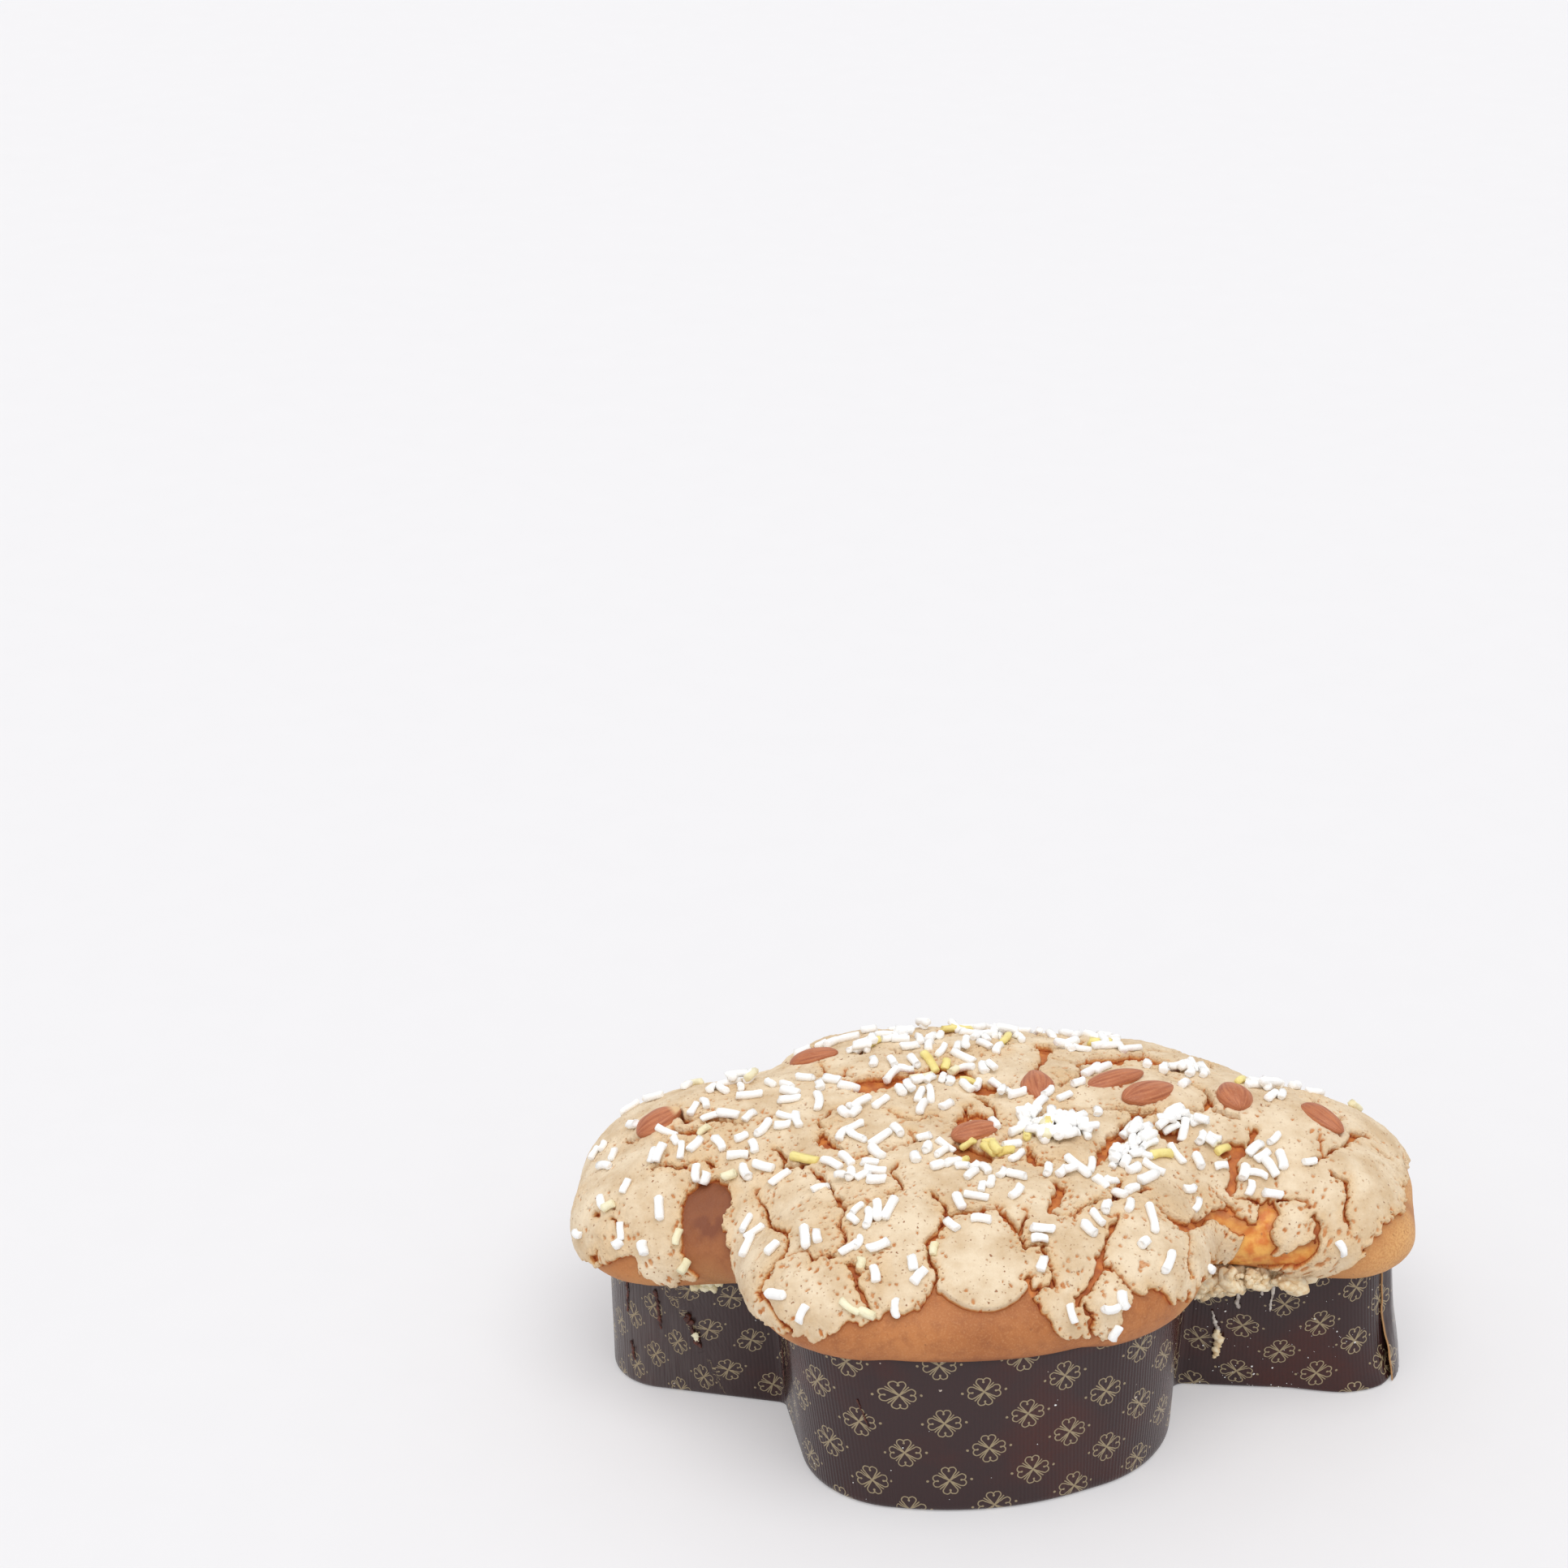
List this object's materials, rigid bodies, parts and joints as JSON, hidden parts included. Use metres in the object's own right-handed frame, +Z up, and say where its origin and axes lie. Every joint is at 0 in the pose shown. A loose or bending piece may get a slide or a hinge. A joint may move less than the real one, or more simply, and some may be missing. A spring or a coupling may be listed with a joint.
{
  "type": "colomba easter bread",
  "caption": "Cross-shaped sweet yeast loaf in a printed paper mould, with a cracked almond glaze, sugar nibs and whole almonds on its crown.",
  "frame": {"origin": "middle of the part's box in plan, on the floor it stands on", "axes": "+X towards the tail along the loaf's length, -Y towards the near wing with the round glaze plate, +Z up"},
  "size_m": [0.313, 0.2258, 0.109],
  "materials": {
    "paper": "glossy dark brown printed paper with fine vertical ribs",
    "crust": "baked golden-brown crust, stands in for bread",
    "glaze": "matt beige almond glaze with white sugar nibs",
    "almond": "dry reddish-brown almond skin"
  },
  "bodies": {
    "root": {"paper_mould": "paper", "dough": "crust", "glaze": "glaze", "almond_01": "almond", "almond_02": "almond", "almond_03": "almond", "almond_04": "almond", "almond_05": "almond", "almond_06": "almond", "almond_07": "almond", "almond_08": "almond"}
  },
  "joints": []
}
